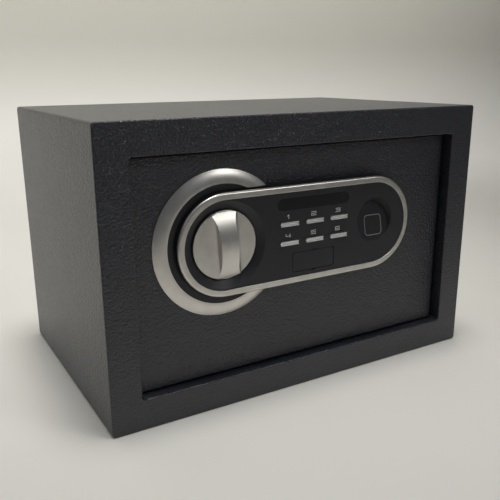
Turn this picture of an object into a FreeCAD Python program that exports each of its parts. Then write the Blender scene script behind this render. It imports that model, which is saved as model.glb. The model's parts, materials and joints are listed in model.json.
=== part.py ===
import FreeCAD, Part
import math
import os
import re
import Sketcher
from FreeCAD import Placement, Rotation, Vector

# A small steel safe. The frame's origin is the centre of the cabinet's bottom face: +Z is up and the door
# faces -Y. The door hangs on two pins at its right edge, its two bolts leave its left edge, and it is
# modelled closed, with the bolts drawn back.

SIZES = {
    # cabinet
    "width": 310,
    "depth": 200,
    "height": 200,
    "steel": 1.5,
    "bend": 2.2,
    "frame_thick": 2,
    "frame_side": 21.5,
    "edge_round": 1.1,
    "lip_round": 1,
    "open_round": 2,
    "jamb_deep": 20,
    "jamb_thick": 1.5,
    "cut_past": 1,
    "edge_near": 1,
    "anchor_dia": 10,
    "floor_anchor_span": 140,
    "back_anchor_span": 140,
    "mat_thick": 2,
    "mat_gap": 6,
    "mat_hole_dia": 18,
    "keeper_thick": 3,
    "keeper_deep": 43,
    "keeper_above": 20,
    "keeper_play": 1.5,
    # hinge
    "pivot_in": 14.5,
    "pivot_back": 14.3,
    "pin_dia": 6,
    "pin_play": 0.06,
    "pin_head_wide": 10,
    "pin_head_deep": 7.5,
    "pin_head_high": 6,
    "hinge_plate_thick": 5,
    "hinge_plate_wide": 24,
    "hinge_plate_deep": 20,
    "hinge_plate_bevel": 1,
    "pin_bevel": 0.8,
    # door
    "recess": 8,
    "door_gap": 2,
    "door_slit": 1,
    "door_thick": 3,
    "door_deep": 12,
    "door_wall": 2.5,
    "door_round": 1.2,
    # mechanism cover
    "cover_back": 39,
    "cover_thick": 1.2,
    "cover_round": 4,
    "cover_side": 7.5,
    "cover_hinge_side": 21,
    "cover_edge": 4.5,
    "cover_lift": 0.5,
    "cover_slot_play": 1,
    "post_dia": 7,
    "post_in": 9,
    "screw_dia": 3,
    "screw_head_dia": 5.8,
    "screw_head_high": 2,
    "screw_long": 7,
    "screw_slot": 0.9,
    "screw_arm": 1.74,
    "screw_cross": 1.1,
    "screw_round": 0.7,
    "screw_tip": 0.5,
    "screw_hole_play": 0.2,
    "thread_play": 0.04,
    # bolt work
    "bolt_dia": 14,
    "bolt_play": 0.05,
    "bolt_back": 19,
    "bolt_span": 80,
    "bolt_inset": 1.5,
    "bolt_long": 32,
    "bolt_bevel": 1.5,
    "tail_dia": 8,
    "rivet_dia": 11,
    "rivet_high": 1.5,
    "rivet_round": 0.8,
    "guide_thick": 2.5,
    "guide_in": 13.5,
    "guide_foot": 14,
    "guide_past": 4,
    "carriage_gap": 9,
    "carriage_thick": 2.5,
    "tab_side": 12,
    "tab_short": 2,
    "slot_past": 0.5,
    "shoulder_dia": 6,
    "shoulder_play": 0.08,
    "guide_post_dia": 10,
    "guide_post_in": 14,
    "guide_post_out": 2,
    "rail_gap": 0.2,
    "thread_dia": 4,
    "thread_deep": 6,
    "thread_tip": 1,
    "shoulder_head": 2,
    "shoulder_slot": 0.8,
    "tongue_high": 12,
    "strip_past": 5.6,
    "lug_wide": 5,
    "lug_back": 14,
    "lug_drop": 4.2,
    # knob and its crank
    "knob_in": 61.9,
    "knob_up": 16.2,
    "knob_lean": 4,
    "knob_dia": 47.2,
    "knob_low": 2.4,
    "knob_face": 5,
    "knob_edge": 0.5,
    "grip_half": 22.6,
    "grip_rise": 7.5,
    "grip_end": 0.7,
    "grip_waist": 6.4,
    "scoop_rad": 7,
    "scoop_bite": 0.2,
    "spindle_dia": 8,
    "spindle_play": 0.06,
    "spindle_grip": 1.8,
    "bush_dia": 12,
    "bush_flange_dia": 16,
    "bush_flange": 1.2,
    "bush_gap": 0.3,
    "crank_dia": 28,
    "crank_stand": 3,
    "crank_thick": 3,
    "crank_reach": 10,
    "crank_pin_dia": 5,
    "crank_pin_long": 8,
    "yoke_play": 0.4,
    "clip_dia": 13,
    "clip_thick": 0.8,
    "clip_groove": 0.6,
    "clip_mouth": 4,
    "spindle_tail": 0.8,
    # round trim behind the panel
    "ring_dia": 100,
    "ring_inner_dia": 81.4,
    "ring_edge": 0.6,
    "ring_high": 3.3,
    "ring_flat": 1.6,
    "ring_base_high": 2.8,
    "ring_swell": 0.5,
    # control panel
    "panel_rad": 35.4,
    "panel_long": 125.3,
    "panel_high": 7.2,
    "panel_wall": 2,
    "panel_step": 0.5,
    "panel_foot": 1,
    "panel_foot_high": 1.6,
    "bezel_wide": 4.6,
    "bezel_low": 6,
    "bezel_high": 8,
    "bezel_round": 1.7,
    "bezel_inner_round": 0.3,
    "dish_rad": 30,
    "dish_floor": 1.8,
    "dish_gap": 0.8,
    "dish_step": 3.6,
    "dish_wall": 1,
    "flange_play": 0.2,
    # keys, window and cap
    "key_wide": 14.8,
    "key_tall": 3,
    "key_proud": 1.3,
    "key_play": 0.25,
    "key_flange": 1.1,
    "key_flange_high": 0.8,
    "key_drop": 0.1,
    "key_groove": 0.9,
    "key_groove_deep": 0.9,
    "key_round": 0.4,
    "key_first": 49.3,
    "key_pitch": 21.45,
    "key_row": 8.6,
    "key_row_pitch": 13.6,
    "window_long": 61.8,
    "window_tall": 8.6,
    "window_in": 70.4,
    "window_up": 22.3,
    "window_sunk": 0.25,
    "cap_wide": 36,
    "cap_tall": 14,
    "cap_round": 2,
    "cap_thick": 2,
    "cap_play": 0.3,
    "cap_border": 2.5,
    "cap_edge": 0.3,
    "cap_seat": 0.1,
    # fingerprint reader
    "dish_across": 126.6,
    "dish_up": 0.8,
    "finger_rad": 17.5,
    "finger_floor_rad": 15.6,
    "finger_tilt": 10,
    "finger_start": 14.6,
    "finger_boss": 2,
    "finger_flare": 0.6,
    "sensor_wide": 16.4,
    "sensor_tall": 15.6,
    "sensor_round": 3,
    "sensor_line": 0.55,
    "sensor_high": 0.5,
    "sensor_sunk": 0.15,
    "sensor_drop": 2.9,
    # keypad board behind the panel
    "board_thick": 1.2,
    "board_up": 1,
    "board_left": 45.6,
    "board_wide": 60,
    "board_drop": 9.7,
    "board_tall": 40,
    "switch_wide": 6,
    "switch_tall": 3.4,
    "switch_high": 0.8,
    "switch_tip_dia": 2.4,
    "switch_tip": 0.4,
    "module_side": 0.8,
    "boss_dia": 7,
    "boss_near": 34.6,
    "boss_far": 109.6,
    "boss_up": 26.8,
    "boss_bite": 4,
    # emergency lock
    "lock_in": 70.7,
    "lock_drop": 20.1,
    "lock_head_dia": 15,
    "lock_head_high": 4.2,
    "lock_dia": 12,
    "lock_long": 24,
    "lock_play": 0.15,
    "lock_head_play": 0.3,
    "lock_nut_across": 17,
    "lock_nut_high": 3,
    "plug_dia": 8,
    "plug_play": 0.05,
    "plug_sunk": 0.3,
    "keyway_wide": 1.6,
    "keyway_tall": 5,
    "keyway_deep": 10,
    "plug_neck": 5,
    "cam_thick": 2,
    "cam_gap": 0.5,
    "cam_reach": 25.5,
    "cam_hub": 6.5,
    "cam_end": 3,
    "cam_rest": 45,
    "stake_high": 1,
    # solenoid latch
    "plunger_in": 18.1,
    "plunger_dia": 5,
    "plunger_play": 0.1,
    "plunger_clear": 0.8,
    "plunger_side": 0.5,
    "plunger_long": 32,
    "plunger_bevel": 2.2,
    "plunger_collar_dia": 8,
    "plunger_collar_up": 4.7,
    "plunger_collar_high": 1.5,
    "spring_room": 6,
    "spring_wire": 0.6,
    "spring_turns": 4,
    "coil_dia": 17,
    "coil_high": 24.6,
    "coil_play": 0.3,
    "solenoid_wide": 18,
    "solenoid_steel": 1.2,
    # main board and batteries
    "main_left": 97.6,
    "main_wide": 66,
    "main_drop": 10.2,
    "main_tall": 60,
    "main_back": 17,
    "main_thick": 1.6,
    "main_post_dia": 6,
    "main_post_in": 4,
    "cable_in": 101.6,
    "cable_up": 13.8,
    "cable_thick": 0.9,
    "cable_wide": 10,
    "cable_slot": 4,
    "cell_dia": 14.2,
    "cell_long": 49,
    "cell_nub_dia": 5.4,
    "cell_nub": 1.4,
    "cell_pitch": 15,
    "cell_end": 2.4,
    "battery_in": 134.2,
    "battery_drop": 50.2,
    "battery_wall": 1.5,
    "battery_deep": 16,
    "battery_slack": 0.5,
    "cell_lift": 0.4,
    "battery_lap": 3,
    "battery_lid_thick": 1.8,
    "battery_lid_round": 2.5,
    "battery_lid_edge": 0.8,
    "battery_lid_gap": 0.05,
    "grip_line_half": 9,
    "grip_line_in": 5,
    "grip_line_pitch": 3,
    "grip_line_wide": 1.6,
    "grip_line_deep": 0.6,
    "battery_play": 0.3,
    "contact_side": 9,
    "contact_thick": 0.5,
    "reset_in": 6,
    "reset_down": 15,
    "reset_dia": 6,
    "reset_play": 0.3,
    "reset_proud": 1.4,
    "reset_travel": 1.5,
    "reset_collar_dia": 9,
    "reset_collar": 1,
    "reset_switch_side": 6,
    "reset_switch_high": 4,
    "reset_stem_dia": 4,
    "reset_gap": 0.2,
    "reset_round": 0.6,
    "chip_in": 20,
    "chip_up": 22,
    "chip_wide": 14,
    "chip_tall": 14,
    "chip_high": 1.6,
    "driver_in": 38,
    "driver_up": 20,
    "driver_wide": 8,
    "driver_tall": 16,
    "driver_high": 2.2,
    "header_in": 17,
    "header_up": 47,
    "header_wide": 16,
    "header_tall": 8,
    "header_high": 6,
    "plug_in": 38,
    "plug_up": 47,
    "plug_wide": 10,
    "plug_tall": 8,
    "plug_high": 6,
    "can_in": 52,
    "can_up": 17,
    "can_dia": 10,
    "can_high": 9,
    "small_can_up": 31,
    "small_can_dia": 8,
    "small_can_high": 7,
    "lead_dia": 1.6,
    "lead_gap": 2.4,
    "lead_bend": 2.2,
    "lead_run": 5.85,
    "lead_in": 20,
    "lead_turn": 9,
    "lead_down": 5,
    "cell_lead_in": 30,
    "cell_lead_up": 12,
    "cell_lead_rise": 3.6,
    "cell_lead_back": 5,
}

# Places and lengths that follow from the sizes, written as expressions of them.
PLACES = {
    "front_y": "-depth / 2",
    "frame_y": "front_y + frame_thick",
    "rear_y": "depth / 2",
    "inner_y": "rear_y - steel",
    "mid_z": "height / 2",
    "open_x": "width / 2 - frame_side",
    "open_low": "frame_side",
    "open_high": "height - frame_side",
    "jamb_x": "open_x + jamb_thick",
    "jamb_y": "front_y + jamb_deep",
    "wall_x": "width / 2 - steel",
    "pivot_x": "open_x - pivot_in",
    "pivot_y": "front_y + pivot_back",
    "door_x": "open_x - door_gap",
    "door_left": "-open_x + door_slit",
    "door_low": "open_low + door_slit",
    "door_high": "open_high - door_slit",
    "face_y": "front_y + recess",
    "skin_y": "face_y + door_thick",
    "return_y": "face_y + door_deep",
    "cover_left": "-door_x + cover_side",
    "cover_right": "door_x - cover_hinge_side",
    "cover_low": "door_low + cover_edge",
    "cover_high": "door_high - cover_edge",
    "cover_y": "skin_y + cover_back",
    "cover_in_y": "cover_y - cover_thick",
    "bolt_y": "skin_y + bolt_back",
    "bolt_tip_x": "-door_x + bolt_inset",
    "carriage_x": "bolt_tip_x + bolt_long",
    "carriage_y": "skin_y + carriage_gap",
    "carriage_back_y": "carriage_y + carriage_thick",
    "throw": "2 * crank_reach * sin(45)",
    "knob_x": "-door_x + knob_in",
    "knob_z": "mid_z + knob_up",
    "crank_y": "skin_y + crank_stand",
    "crank_back_y": "crank_y + crank_thick",
    "clip_back_y": "crank_back_y + clip_thick",
    "yoke_x": "knob_x + crank_reach * sin(45)",
    "yoke_wide": "crank_pin_dia + 2 * yoke_play",
    "strip_x": "knob_x + crank_dia / 2 + strip_past",
    "strip_half": "bolt_span / 2 + tab_side",
    "far_x": "knob_x + panel_long",
    "body_rad": "panel_rad - panel_step",
    "hollow_rad": "body_rad - panel_wall - panel_step",
    "wall_h": "panel_high - panel_wall",
    "lock_x": "knob_x + lock_in",
    "lock_z": "knob_z - lock_drop",
    "window_x": "knob_x + window_in",
    "window_z": "knob_z + window_up",
    "finger_x": "knob_x + dish_across",
    "finger_z": "knob_z + dish_up",
    "lug_z": "knob_z - lug_drop",
    "lug_x": "plunger_x + plunger_dia / 2 + plunger_side",
    "plunger_x": "lock_x - plunger_in",
    "tip_z": "lug_z + plunger_clear",
    "collar_z": "tip_z + plunger_collar_up",
    "collar_top_z": "collar_z + plunger_collar_high",
    "coil_z": "collar_top_z + spring_room",
    "main_y": "skin_y + main_back",
    "main_back_y": "main_y + main_thick",
    "battery_x": "knob_x + battery_in",
    "battery_z": "knob_z - battery_drop",
    "battery_half_x": "cell_long / 2 + cell_nub / 2 + cell_end",
    "battery_half_z": "2 * cell_pitch + battery_slack",
    "battery_y": "cover_in_y - battery_deep",
    "cell_y": "battery_y + cell_dia / 2 + cell_lift",
    "reset_x": "knob_x + main_left + main_wide - reset_in",
    "reset_z": "knob_z - main_drop + main_tall - reset_down",
    "cable_x": "knob_x + cable_in",
    "cable_z": "knob_z + cable_up",
}

TINY = 1e-4
WORD = re.compile(r"[A-Za-z_][A-Za-z_0-9]*")
PLANES = {"front": ("XZ_Plane", -1), "top": ("XY_Plane", 1), "side": ("YZ_Plane", 1)}
PIECES = {}

doc = FreeCAD.newDocument("safe")
sheet = doc.addObject("Spreadsheet::Sheet", "dims")
for row, (alias, size) in enumerate(SIZES.items(), start=1):
    sheet.set(f"A{row}", str(size))
    sheet.setAlias(f"A{row}", alias)
doc.recompute()


def full(text):
    """The expression with every place written out and every size read from the sheet."""
    def swap(match):
        word = match.group(0)
        if word in PLACES:
            return "(" + full(PLACES[word]) + ")"
        return "dims." + word if word in SIZES else word
    return WORD.sub(swap, text)


def value(text):
    return float(sheet.evalExpression(full(text)))


def bind(thing, prop, text):
    thing.setExpression(prop, full(text))


def check(thing):
    if "Invalid" in thing.State or "Error" in thing.State:
        raise RuntimeError(f"{thing.Label} failed: {thing.getStatusString()}")


def fix_point(sketch, geometry, end, x, y):
    """Hold one point of a sketch at expressions of the sheet."""
    for kind, text in (("DistanceX", x), ("DistanceY", y)):
        index = sketch.addConstraint(Sketcher.Constraint(kind, geometry, end, value(text)))
        bind(sketch, f"Constraints[{index}]", text)


def disc(x, y, radius):
    """A circle outline."""
    def draw(sketch):
        centre = Vector(value(x), value(y), 0)
        index = sketch.addGeometry(Part.Circle(centre, Vector(0, 0, 1), value(radius)))
        fix_point(sketch, index, 3, x, y)
        held = sketch.addConstraint(Sketcher.Constraint("Radius", index, value(radius)))
        bind(sketch, f"Constraints[{held}]", radius)
    return draw


def outline(*stops):
    """A closed outline. A stop is (x, y), reached by a line, or (mid x, mid y, x, y), reached by an arc."""
    def draw(sketch):
        places = [stop[-2:] for stop in stops]
        runs = [(places[i - 1], stops[i]) for i in range(1, len(stops))]
        if places[-1] != places[0]:
            runs.append((places[-1], places[0]))
        ends = []
        for start, stop in runs:
            a = Vector(value(start[0]), value(start[1]), 0)
            b = Vector(value(stop[-2]), value(stop[-1]), 0)
            if len(stop) == 2:
                ends.append((sketch.addGeometry(Part.LineSegment(a, b)), 1, 2))
                continue
            mid = Vector(value(stop[0]), value(stop[1]), 0)
            leftward = (b - a).cross(mid - a).z < 0
            arc = Part.Arc(a, mid, b) if leftward else Part.Arc(b, mid, a)
            index = sketch.addGeometry(arc)
            ends.append((index, 1, 2) if leftward else (index, 2, 1))
            point = sketch.addGeometry(Part.Point(mid), True)
            fix_point(sketch, point, 1, stop[0], stop[1])
            sketch.addConstraint(Sketcher.Constraint("PointOnObject", point, 1, index))
        for number, (index, first, _) in enumerate(ends):
            start = runs[number][0]
            before, _, last = ends[number - 1]
            sketch.addConstraint(Sketcher.Constraint("Coincident", before, last, index, first))
            fix_point(sketch, index, first, start[0], start[1])
    return draw


def discs(places, radius):
    return [disc(x, y, radius) for x, y in places]


def rect(x0, x1, y0, y1):
    return outline((x0, y0), (x1, y0), (x1, y1), (x0, y1))


def rounded(x0, x1, y0, y1, radius):
    """A rectangle with round corners."""
    inset = f"({radius}) * (1 - sin(45))"
    x2, x3, y2, y3 = f"{x0} + {radius}", f"{x1} - ({radius})", f"{y0} + {radius}", f"{y1} - ({radius})"
    near_x, far_x, near_y, far_y = f"{x0} + {inset}", f"{x1} - {inset}", f"{y0} + {inset}", f"{y1} - {inset}"
    return outline((x2, y0), (x3, y0), (far_x, near_y, x1, y2), (x1, y3), (far_x, far_y, x3, y1),
                   (x2, y1), (near_x, far_y, x0, y3), (x0, y2), (near_x, near_y, x2, y0))


def slot(x0, x1, y, radius):
    """A level slot between two end centres."""
    low, high = f"{y} - ({radius})", f"{y} + {radius}"
    return outline((x0, low), (x1, low), (f"{x1} + {radius}", y, x1, high), (x0, high),
                   (f"{x0} - ({radius})", y, x0, low))


def upright(x, y0, y1, radius):
    """An upright slot between two end centres."""
    left, right = f"{x} - ({radius})", f"{x} + {radius}"
    return outline((right, y0), (right, y1), (x, f"{y1} + {radius}", left, y1), (left, y0),
                   (x, f"{y0} - ({radius})", right, y0))


class Piece:
    """One solid, or one group of like solids, made of pads, pockets and turned outlines.

    Levels are given along the axis across the sketch's plane: Y for "front", Z for "top", X for "side".
    """

    def __init__(self, label, x="0", y="0", z="0"):
        self.body = doc.addObject("PartDesign::Body", label)
        self.body.Label = label
        self.body.AllowCompound = True
        for letter, text in zip("xyz", (x, y, z)):
            bind(self.body, "Placement.Base." + letter, text)
        PIECES[label] = self.body

    def lean(self, axis, angle):
        self.body.Placement = Placement(self.body.Placement.Base, Rotation(axis, value(angle)))
        bind(self.body, "Placement.Rotation.Angle", angle)
        return self

    def sketch(self, plane, level, outlines):
        role, sign = PLANES[plane]
        made = self.body.newObject("Sketcher::SketchObject", "outline")
        base = next(item for item in self.body.Origin.OriginFeatures if item.Role == role)
        made.AttachmentSupport = [(base, "")]
        made.MapMode = "FlatFace"
        bind(made, "AttachmentOffset.Base.z", f"{sign} * ({level})")
        for draw in outlines:
            draw(made)
        return made

    def settle(self, feature, before, grows):
        """Recompute and make sure that the feature added material, or took some away."""
        self.body.Tip = feature
        doc.recompute()
        check(feature)
        change = self.body.Shape.Volume - before
        if change * (1 if grows else -1) <= TINY:
            raise RuntimeError(f"{self.body.Label}: {feature.Label} changed nothing")

    def volume(self):
        return self.body.Shape.Volume if self.body.Tip else 0.0

    def pad(self, plane, low, high, *outlines):
        before = self.volume()
        base = self.sketch(plane, high if plane == "front" else low, outlines)
        feature = self.body.newObject("PartDesign::Pad", "pad")
        feature.Profile = base
        bind(feature, "Length", f"({high}) - ({low})")
        self.settle(feature, before, True)
        return self

    def pocket(self, plane, low, high, *outlines):
        before = self.volume()
        base = self.sketch(plane, low if plane == "front" else high, outlines)
        feature = self.body.newObject("PartDesign::Pocket", "pocket")
        feature.Profile = base
        bind(feature, "Length", f"({high}) - ({low})")
        self.settle(feature, before, False)
        return self

    def turn(self, plane, axis, *outlines):
        """Revolve outlines about the sketch's own H_Axis or V_Axis."""
        before = self.volume()
        base = self.sketch(plane, "0", outlines)
        feature = self.body.newObject("PartDesign::Revolution", "turned")
        feature.Profile = base
        feature.ReferenceAxis = (base, [axis])
        feature.Angle = 360
        self.settle(feature, before, True)
        return self

    def dress(self, kind, prop, size, pick):
        """Round or bevel the edges that pick chooses."""
        base = self.body.Tip
        names = [f"Edge{i}" for i, edge in enumerate(base.Shape.Edges, start=1) if pick(edge)]
        if not names:
            raise RuntimeError(f"{self.body.Label}: no edge to dress")
        feature = self.body.newObject("PartDesign::" + kind, kind.lower())
        feature.Base = (base, names)
        bind(feature, prop, size)
        self.body.Tip = feature
        doc.recompute()
        check(feature)
        return self

    def fillet(self, size, pick):
        return self.dress("Fillet", "Radius", size, pick)

    def chamfer(self, size, pick):
        return self.dress("Chamfer", "Size", size, pick)


def at(axis, *texts):
    """Picks edges that lie wholly in one of the planes axis = text."""
    levels = [value(text) for text in texts]
    low, high = axis + "Min", axis + "Max"

    def pick(edge):
        box = edge.BoundBox
        flat = getattr(box, high) - getattr(box, low) < TINY
        return flat and any(abs(getattr(box, low) - level) < TINY for level in levels)
    return pick


def upright_edge(edge):
    box = edge.BoundBox
    return box.ZLength > box.XLength and box.ZLength > box.YLength


def within(pick, x0, x1, z0, z1):
    """Picks only edges whose box lies inside a window of X and Z."""
    left, right, low, high = (value(text) for text in (x0, x1, z0, z1))

    def inside(edge):
        box = edge.BoundBox
        return pick(edge) and box.XMin > left and box.XMax < right and box.ZMin > low and box.ZMax < high
    return inside


def h(level):
    """The Y of a point that stands a height above the door's face."""
    return f"face_y - ({level})"


# ---------------------------------------------------------------- cabinet

def cabinet():
    outer = rounded("-width / 2", "width / 2", "0", "height", "bend")
    inner = rounded("-wall_x", "wall_x", "steel", "height - steel", "bend - steel")
    opening = rounded("-open_x", "open_x", "open_low", "open_high", "open_round")
    floor_anchors = [(f"{sign}floor_anchor_span / 2", "0") for sign in ("-", "")]
    back_anchors = [(f"{sign}back_anchor_span / 2", "mid_z") for sign in ("-", "")]

    wrapper = Piece("body_wrapper").pad("front", "frame_y", "rear_y", outer, inner)
    wrapper.pocket("top", "-steel", "2 * steel", *discs(floor_anchors, "anchor_dia / 2"))

    Piece("back_panel").pad("front", "inner_y", "rear_y", inner, *discs(back_anchors, "anchor_dia / 2"))

    frame = Piece("front_frame").pad("front", "front_y", "frame_y", outer, opening)
    frame.pad("front", "frame_y", "jamb_y", opening,
              rounded("-jamb_x", "jamb_x", "open_low - jamb_thick", "open_high + jamb_thick",
                      "open_round + jamb_thick"))
    frame.pocket("top", "0", "height", disc("pivot_x", "pivot_y", "pin_dia / 2 + pin_play"))
    front_edges = at("Y", "front_y")
    lip = within(front_edges, "-open_x - edge_near", "open_x + edge_near",
                 "open_low - edge_near", "open_high + edge_near")
    frame.fillet("edge_round", lambda edge: front_edges(edge) and not lip(edge))
    frame.fillet("lip_round", lip)

    for label, low, high in (("hinge_plate_upper", "open_high + jamb_thick",
                              "open_high + jamb_thick + hinge_plate_thick"),
                             ("hinge_plate_lower", "open_low - jamb_thick - hinge_plate_thick",
                              "open_low - jamb_thick")):
        plate = Piece(label).pad("top", low, high,
                                 rect("pivot_x - hinge_plate_wide / 2", "pivot_x + hinge_plate_wide / 2",
                                      "frame_y", "frame_y + hinge_plate_deep"),
                                 disc("pivot_x", "pivot_y", "pin_dia / 2 + pin_play"))
        side = value("hinge_plate_wide / 2 - edge_near")
        plate.chamfer("hinge_plate_bevel", lambda edge: upright_edge(edge)
                      and edge.BoundBox.YMin > value("frame_y + edge_near")
                      and abs(edge.CenterOfMass.x - value("pivot_x")) > side)

    low, high = "mid_z - bolt_span / 2 - keeper_above", "mid_z + bolt_span / 2 + keeper_above"
    rear = "frame_y + keeper_deep"
    keeper = Piece("bolt_keeper").pad("top", low, high, outline(
        ("-jamb_x", "frame_y"), ("-jamb_x", rear), ("-wall_x", rear), ("-wall_x", rear + " - keeper_thick"),
        ("-jamb_x - keeper_thick", rear + " - keeper_thick"), ("-jamb_x - keeper_thick", "frame_y")))
    half = "(bolt_dia / 2 + keeper_play)"
    keeper.pocket("side", "-jamb_x - 2 * keeper_thick", "-jamb_x + keeper_thick",
                  *[rect(f"bolt_y - {half}", f"bolt_y + {half}", f"{z} - {half}", f"{z} + {half}")
                    for z in ("mid_z - bolt_span / 2", "mid_z + bolt_span / 2")])

    mat = Piece("floor_mat").pad("top", "steel", "steel + mat_thick", rect(
        "-wall_x + mat_gap", "wall_x - mat_gap", "jamb_y + mat_gap", "inner_y - mat_gap"))
    mat.pocket("top", "0", "2 * steel + mat_thick", *discs(floor_anchors, "mat_hole_dia / 2"))


# ---------------------------------------------------------------- door

BOSSES = [(f"knob_x + {x}", f"knob_z {sign} boss_up") for x in ("boss_near", "boss_far") for sign in "+-"]
BOLT_LEVELS = ("mid_z - bolt_span / 2", "mid_z + bolt_span / 2")
POSTS = [(x, z) for x in ("cover_left + post_in", "cover_right - post_in")
         for z in ("cover_low + post_in", "cover_high - post_in")]
MAIN_POSTS = [(f"knob_x + main_left + {x}", f"knob_z - main_drop + {z}")
              for x in ("main_post_in", "main_wide - main_post_in")
              for z in ("main_post_in", "main_tall - main_post_in")]
GUIDES = [("carriage_x + guide_post_in", z) for z in ("mid_z - bolt_span / 2 - guide_post_out",
                                                     "mid_z + bolt_span / 2 + guide_post_out")]


def door():
    outer = rect("door_left", "door_x", "door_low", "door_high")
    panel = Piece("door_panel").pad("front", "face_y", "skin_y", outer)
    panel.pad("front", "skin_y", "return_y", outer,
              rect("door_left + door_wall", "door_x - door_wall",
                   "door_low + door_wall", "door_high - door_wall"))
    panel.pocket("front", "face_y - cut_past", "skin_y + cut_past",
                 disc("knob_x", "knob_z", "bush_dia / 2"),
                 disc("lock_x", "lock_z", "lock_dia / 2 + lock_play"),
                 upright("cable_x", "cable_z - cable_wide / 2", "cable_z + cable_wide / 2", "cable_slot / 2"),
                 *discs(BOSSES, "screw_dia / 2 + screw_hole_play"))
    for low, high in (("door_low - cut_past", "door_low + door_wall + cut_past"),
                      ("door_high - door_wall - cut_past", "door_high + cut_past")):
        panel.pocket("top", low, high, disc("pivot_x", "pivot_y", "pin_dia / 2"))
    panel.fillet("door_round", lambda edge: at("Y", "face_y")(edge)
                 and edge.BoundBox.DiagonalLength > value("2 * bush_dia"))

    pins = Piece("hinge_pins")
    plate_end = "jamb_thick + hinge_plate_thick"
    for head, pin in ((("door_high - door_wall - pin_head_high", "door_high - door_wall"),
                       ("door_high - door_wall", f"open_high + {plate_end}")),
                      (("door_low + door_wall", "door_low + door_wall + pin_head_high"),
                       (f"open_low - ({plate_end})", "door_low + door_wall"))):
        pins.pad("top", *head, rect("pivot_x - pin_head_wide / 2", "pivot_x + pin_head_wide / 2",
                                    "skin_y", "skin_y + pin_head_deep"))
        pins.pad("top", *pin, disc("pivot_x", "pivot_y", "pin_dia / 2"))
    pins.chamfer("pin_bevel", at("Z", f"open_high + {plate_end}", f"open_low - ({plate_end})"))


def mechanism_cover():
    shell = Piece("mechanism_cover").pad("front", "skin_y + cover_lift", "cover_y",
                                         rounded("cover_left", "cover_right", "cover_low", "cover_high",
                                                 "cover_round"))
    shell.fillet("0.75 * cover_round", at("Y", "cover_y"))
    front = next(f"Face{i}" for i, face in enumerate(shell.body.Tip.Shape.Faces, start=1)
                 if abs(face.BoundBox.YMax - value("skin_y + cover_lift")) < TINY)
    before, solid = shell.volume(), shell.body.Tip
    hollow = shell.body.newObject("PartDesign::Thickness", "hollow")
    hollow.Base = (solid, [front])
    bind(hollow, "Value", "cover_thick")
    hollow.Reversed = True
    shell.settle(hollow, before, False)
    half_slot = "(bolt_dia / 2 + cover_slot_play)"
    notches = [rect("skin_y - cut_past", f"bolt_y + {half_slot}", f"{z} - {half_slot}", f"{z} + {half_slot}")
               for z in BOLT_LEVELS]
    shell.pocket("side", "cover_left - cut_past", "cover_left + 2 * cover_thick", *notches)
    shell.pocket("front", "cover_in_y - cut_past", "cover_y + cut_past",
                 disc("reset_x", "reset_z", "reset_dia / 2 + reset_play"),
                 rect("battery_x - battery_half_x", "battery_x + battery_half_x",
                      "battery_z - battery_half_z", "battery_z + battery_half_z"),
                 *discs(POSTS, "screw_dia / 2 + screw_hole_play"))

    posts = Piece("cover_posts").pad("front", "skin_y", "cover_in_y", *discs(POSTS, "post_dia / 2"))
    posts.pocket("front", "cover_in_y - screw_long", "cover_in_y + cut_past",
                 *discs(POSTS, "screw_dia / 2 + thread_play"))
    board_posts = Piece("board_posts").pad("front", "skin_y", "main_y",
                                           *discs(MAIN_POSTS, "main_post_dia / 2"))
    board_posts.pocket("front", "main_back_y - screw_long", "main_y + cut_past",
                       *discs(MAIN_POSTS, "screw_dia / 2 + thread_play"))

    screws = Piece("pan_screws")
    for seat, places in (("cover_y", POSTS), ("main_back_y", MAIN_POSTS)):
        screws.pad("front", seat, f"{seat} + screw_head_high", *discs(places, "screw_head_dia / 2"))
        screws.pad("front", f"{seat} - screw_long + screw_tip", seat, *discs(places, "screw_dia / 2"))
        screws.fillet("screw_round", at("Y", f"{seat} + screw_head_high"))
        arm, wide = "screw_arm", "screw_slot / 2"
        crosses = [outline((f"{x} - {arm}", f"{z} - {wide}"), (f"{x} - {wide}", f"{z} - {wide}"),
                           (f"{x} - {wide}", f"{z} - {arm}"), (f"{x} + {wide}", f"{z} - {arm}"),
                           (f"{x} + {wide}", f"{z} - {wide}"), (f"{x} + {arm}", f"{z} - {wide}"),
                           (f"{x} + {arm}", f"{z} + {wide}"), (f"{x} + {wide}", f"{z} + {wide}"),
                           (f"{x} + {wide}", f"{z} + {arm}"), (f"{x} - {wide}", f"{z} + {arm}"),
                           (f"{x} - {wide}", f"{z} + {wide}"), (f"{x} - {arm}", f"{z} + {wide}"))
                   for x, z in places]
        screws.pocket("front", f"{seat} + screw_head_high - screw_cross",
                      f"{seat} + screw_head_high + cut_past", *crosses)


# ---------------------------------------------------------------- bolt work

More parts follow.
